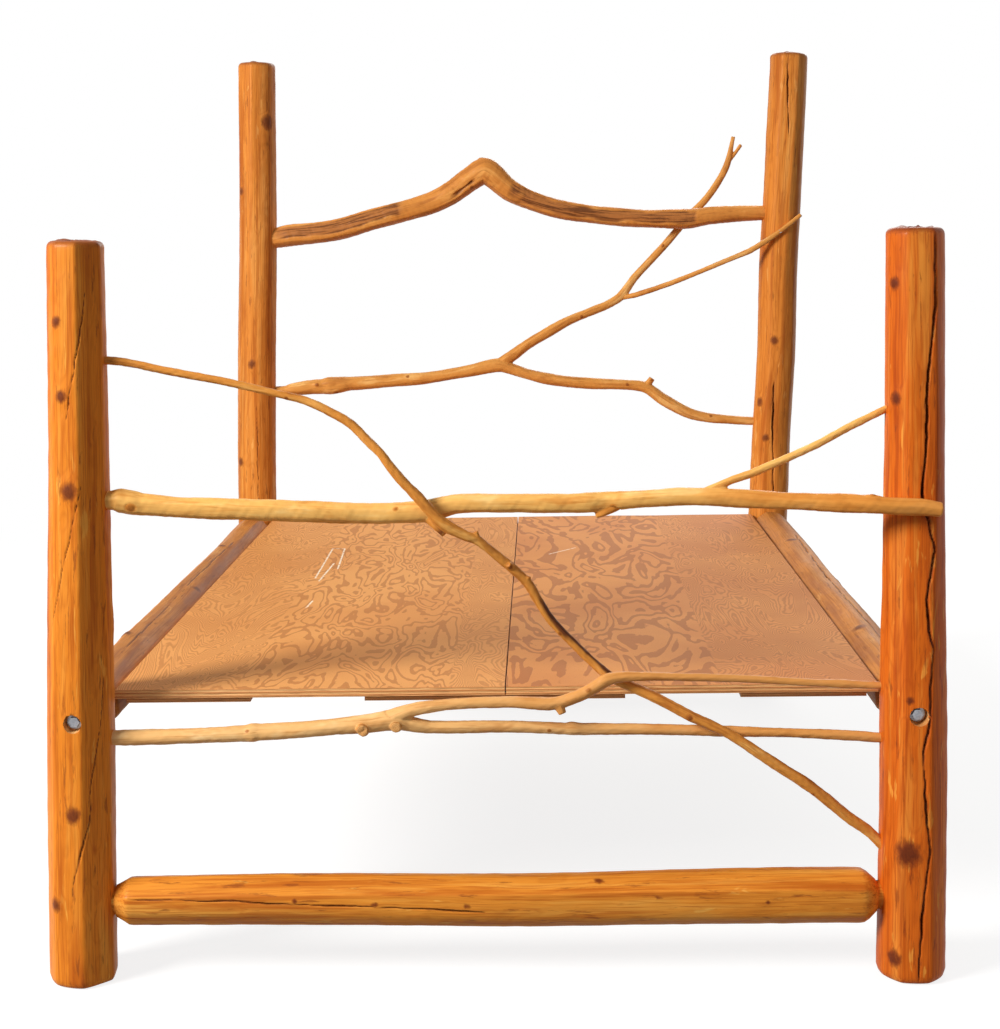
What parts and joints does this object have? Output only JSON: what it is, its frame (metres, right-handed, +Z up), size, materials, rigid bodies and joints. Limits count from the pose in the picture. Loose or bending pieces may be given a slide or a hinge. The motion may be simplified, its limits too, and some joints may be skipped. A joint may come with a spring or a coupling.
{
  "type": "four poster log bed",
  "caption": "Queen-size peeled-log four poster bed with natural branch headboard and footboard and a loose plywood deck.",
  "frame": {"origin": "on the floor, at the middle of the bed's whole outline seen from above", "axes": "+Z up, +Y from the foot end to the head end, +X to the right seen from the foot end"},
  "size_m": [1.8524, 2.2741, 2.0154],
  "materials": {
    "varnished_post": "gloss varnish",
    "varnished_rail": "gloss varnish",
    "branch_wood": "satin varnish",
    "fir_plywood": "satin varnish",
    "framing_lumber": "bare sawn",
    "zinc_steel": "bright zinc"
  },
  "bodies": {
    "bed_frame": {"ledger_screws": "zinc_steel", "slat_screws": "zinc_steel", "strap_screws": "zinc_steel", "left_side_rail": "varnished_rail", "left_ledger": "framing_lumber", "right_side_rail": "varnished_rail", "right_ledger": "framing_lumber", "bed_bolts": "zinc_steel", "bed_bolt_washers": "zinc_steel", "bed_bolt_barrel_nuts": "zinc_steel", "low_foot_rail": "varnished_rail", "low_head_rail": "varnished_rail", "lapped_branch_lag_screws": "zinc_steel", "footboard_top_branch": "branch_wood", "footboard_low_branch": "branch_wood", "footboard_diagonal_branch": "branch_wood", "headboard_top_rail": "branch_wood", "headboard_branch": "branch_wood", "left_foot_post": "varnished_post", "right_foot_post": "varnished_post", "left_head_post": "varnished_post", "right_head_post": "varnished_post", "deck_slat_1": "framing_lumber", "deck_slat_2": "framing_lumber", "deck_slat_3": "framing_lumber", "deck_slat_4": "framing_lumber", "deck_slat_5": "framing_lumber", "deck_slat_6": "framing_lumber", "left_deck_strap": "fir_plywood", "centre_deck_strap": "fir_plywood", "right_deck_strap": "fir_plywood"},
    "left_panel": {"left_deck_panel": "fir_plywood"},
    "right_panel": {"right_deck_panel": "fir_plywood"}
  },
  "joints": [
    {"name": "left_panel_lift", "type": "slide", "parent": "bed_frame", "child": "left_panel", "axis": [0, 0, 1], "range_m": [0, 0.25]},
    {"name": "right_panel_lift", "type": "slide", "parent": "bed_frame", "child": "right_panel", "axis": [0, 0, 1], "range_m": [0, 0.25]}
  ]
}
